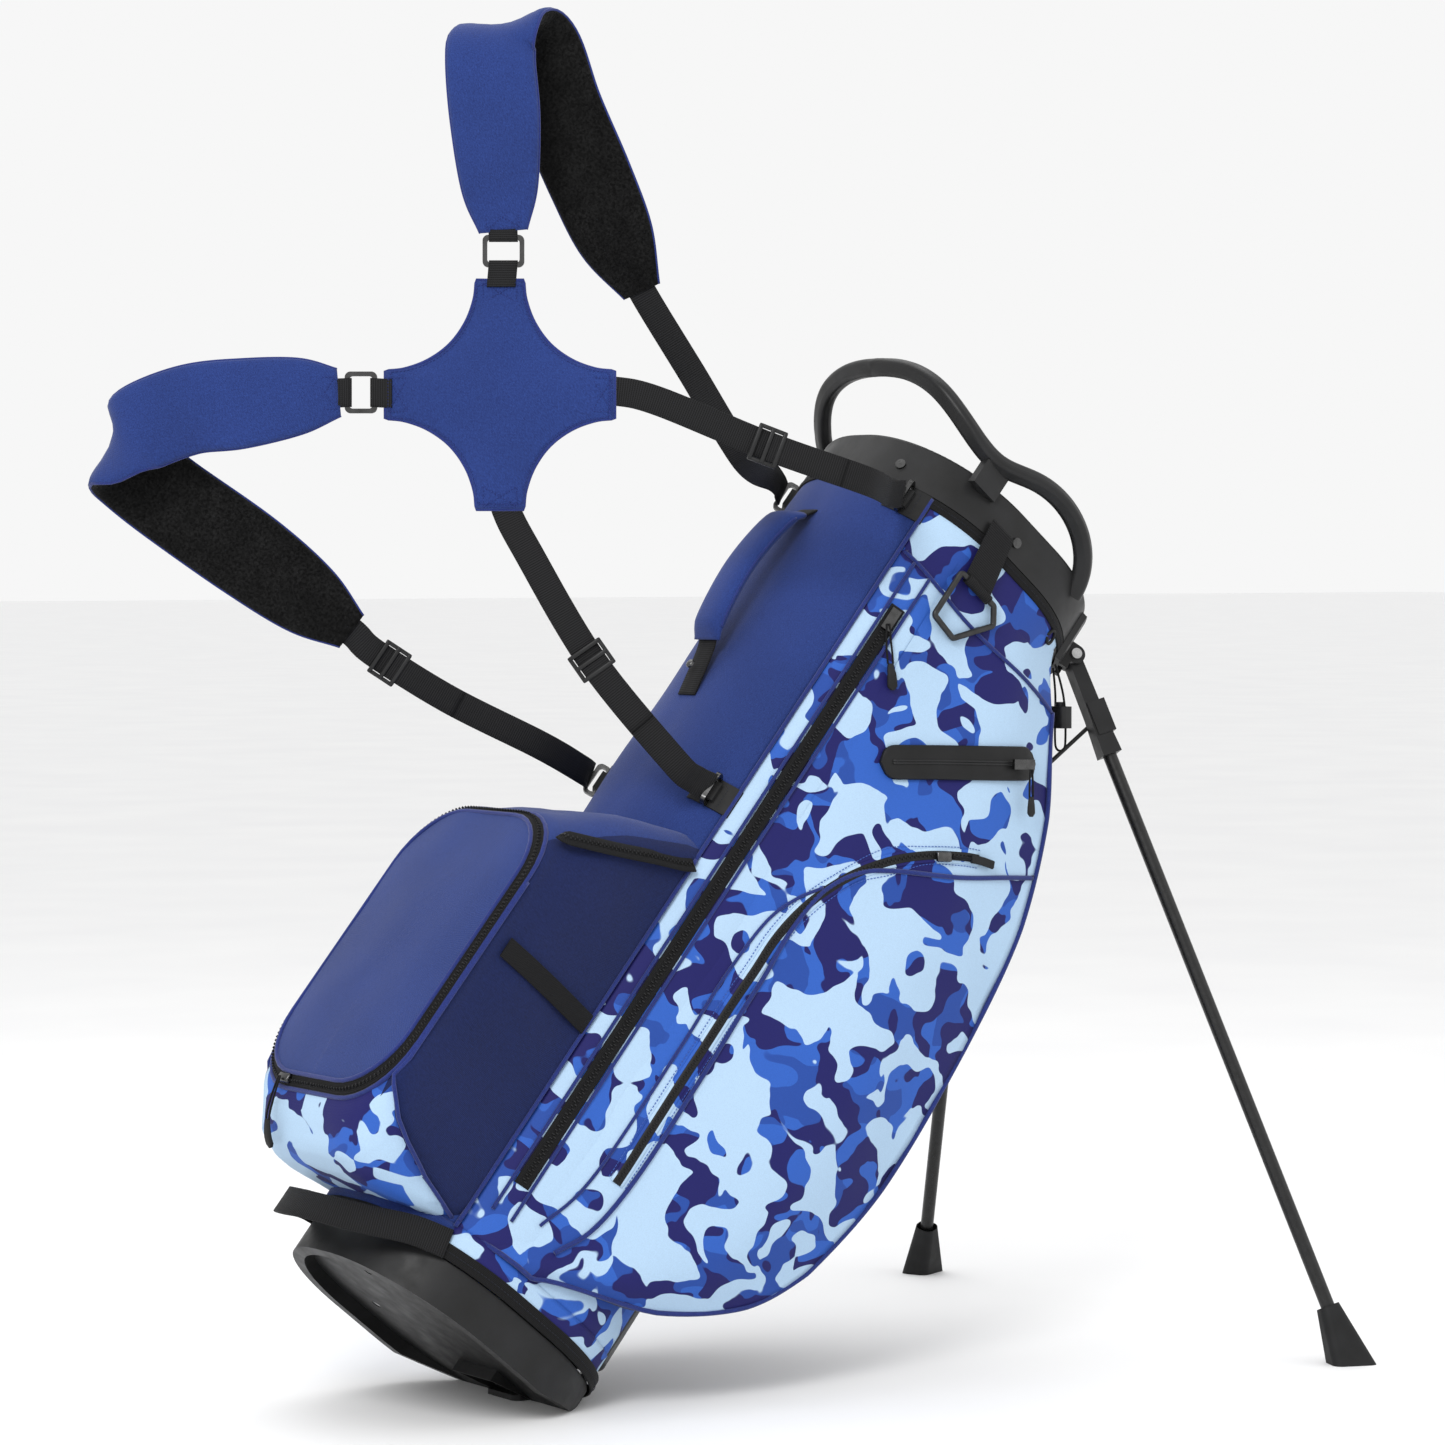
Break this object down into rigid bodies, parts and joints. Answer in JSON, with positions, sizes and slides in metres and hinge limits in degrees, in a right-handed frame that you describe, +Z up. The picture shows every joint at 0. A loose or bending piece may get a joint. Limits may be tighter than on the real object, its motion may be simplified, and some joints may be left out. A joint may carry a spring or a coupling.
{
  "type": "golf stand bag",
  "caption": "Leaning golf bag on splayed folding legs with a divided top, zipped fabric pockets, carry handles and a padded shoulder harness.",
  "frame": {"origin": "on the floor, in the middle plane, under the heel of the base and on the underside of the kick plate", "axes": "+Z up, +X from the base towards the folding legs, +Y across the bag to its left side; the bag leans back about Y with its mouth over the legs"},
  "size_m": [1.018, 0.6664, 1.2081],
  "materials": {
    "satin_plastic": "satin moulded",
    "screw_steel": "zinc",
    "kick_plastic": "fine grain",
    "pin_steel": "plain",
    "black_fabric": "woven",
    "camo_fabric": "woven, printed in a blue camouflage",
    "black_mesh": "woven",
    "stay_rod": "plain",
    "divider_fleece": "brushed fleece",
    "leg_paint": "satin black",
    "foot_rubber": "moulded",
    "rod_paint": "satin black",
    "blue_fabric": "woven, heathered",
    "navy_zip": "coated tape",
    "slider_metal": "black",
    "black_webbing": "webbing",
    "ring_metal": "gunmetal",
    "elastic": "braided"
  },
  "bodies": {
    "bag": {"ball_pocket": "blue_fabric", "base_cuff": "black_fabric", "base_handle": "black_webbing", "base_moulding": "satin_plastic", "base_screws": "screw_steel", "belly_panel": "black_mesh", "cord_lock": "kick_plastic", "d_rings": "kick_plastic", "divider_grid": "divider_fleece", "dry_zip_welt_left": "navy_zip", "dry_zip_welt_right": "navy_zip", "elastic_cord": "elastic", "grab_handle": "blue_fabric", "grab_webbing": "black_webbing", "harness_hub": "blue_fabric", "harness_rings": "kick_plastic", "hinge_bracket": "satin_plastic", "hinge_pin_left": "pin_steel", "hinge_pin_right": "pin_steel", "kick_plate_pin": "pin_steel", "main_zip_left": "navy_zip", "main_zip_right": "navy_zip", "rivets": "ring_metal", "shoulder_pad_lower": "blue_fabric", "shoulder_pad_upper": "blue_fabric", "side_panel_left": "camo_fabric", "side_panel_right": "camo_fabric", "side_pocket_left": "camo_fabric", "side_pocket_right": "camo_fabric", "spine_panel": "blue_fabric", "stay_rods": "stay_rod", "strap_lower_far": "black_webbing", "strap_lower_near": "black_webbing", "strap_patches": "black_fabric", "strap_upper_far": "black_webbing", "strap_upper_near": "black_webbing", "top_collar": "satin_plastic", "towel_strap": "black_webbing"},
    "kick_plate": {"kick_plate": "kick_plastic"},
    "leg_left": {"leg_fitting_left": "satin_plastic", "leg_tube_left": "leg_paint", "leg_foot_left": "foot_rubber"},
    "leg_right": {"leg_fitting_right": "satin_plastic", "leg_tube_right": "leg_paint", "leg_foot_right": "foot_rubber"},
    "rod_left": {"actuator_rod_left": "rod_paint"},
    "rod_right": {"actuator_rod_right": "rod_paint"},
    "main_slider_left": {"main_zip_slider_left": "slider_metal"},
    "main_slider_right": {"main_zip_slider_right": "slider_metal"},
    "dry_slider_left": {"dry_zip_slider_left": "slider_metal"},
    "dry_slider_right": {"dry_zip_slider_right": "slider_metal"},
    "towel_ring": {"towel_ring": "ring_metal"},
    "cord_button": {"cord_lock_button": "kick_plastic"}
  },
  "joints": [
    {"name": "leg_left_hinge", "type": "hinge", "parent": "bag", "child": "leg_left", "pos_m": [0.57978, 0.062, 0.63674], "axis": [-0.3466, 0.8929, 0.2874], "range_deg": [0, 51.93]},
    {"name": "leg_right_hinge", "type": "hinge", "parent": "bag", "child": "leg_right", "pos_m": [0.57978, -0.062, 0.63674], "axis": [0.3466, 0.8929, -0.2874], "range_deg": [0, 51.93]},
    {"name": "kick_plate_hinge", "type": "hinge", "parent": "bag", "child": "kick_plate", "pos_m": [0.00203, 0, 0.00901], "axis": [0, 1, 0], "range_deg": [0, 38.51]},
    {"name": "rod_left_hinge", "type": "hinge", "parent": "kick_plate", "child": "rod_left", "pos_m": [0.059, 0.02, 0.01], "axis": [0.0475, -0.9987, 0.0168], "range_deg": [0, 42.63]},
    {"name": "rod_right_hinge", "type": "hinge", "parent": "kick_plate", "child": "rod_right", "pos_m": [0.059, -0.02, 0.01], "axis": [-0.0475, -0.9987, -0.0168], "range_deg": [0, 42.63]},
    {"name": "main_zip_left_slide", "type": "slide", "parent": "bag", "child": "main_slider_left", "axis": [-0.6384, 0, -0.7697], "range_m": [0, 0.59]},
    {"name": "main_zip_right_slide", "type": "slide", "parent": "bag", "child": "main_slider_right", "axis": [-0.6384, 0, -0.7697], "range_m": [0, 0.59]},
    {"name": "dry_zip_left_slide", "type": "slide", "parent": "bag", "child": "dry_slider_left", "axis": [-0.9955, -0.0888, 0.0333], "range_m": [0, 0.11]},
    {"name": "dry_zip_right_slide", "type": "slide", "parent": "bag", "child": "dry_slider_right", "axis": [-0.9955, 0.0888, 0.0333], "range_m": [0, 0.11]},
    {"name": "towel_ring_hinge", "type": "hinge", "parent": "bag", "child": "towel_ring", "pos_m": [0.41318, -0.1296, 0.70215], "axis": [-0.7697, 0, 0.6384], "range_deg": [0, 90]},
    {"name": "cord_lock_button_slide", "type": "slide", "parent": "bag", "child": "cord_button", "axis": [-0.0005, 0, -1], "range_m": [0, 0.003], "stiffness_N_per_m": 900, "springref_m": -0.001}
  ],
  "couplings": [
    {"joint": "leg_right_hinge", "follows": "leg_left_hinge", "ratio": 1},
    {"joint": "kick_plate_hinge", "follows": "leg_left_hinge", "ratio": 0.74103},
    {"joint": "rod_left_hinge", "follows": "leg_left_hinge", "ratio": 0.819},
    {"joint": "rod_right_hinge", "follows": "leg_left_hinge", "ratio": 0.819}
  ]
}
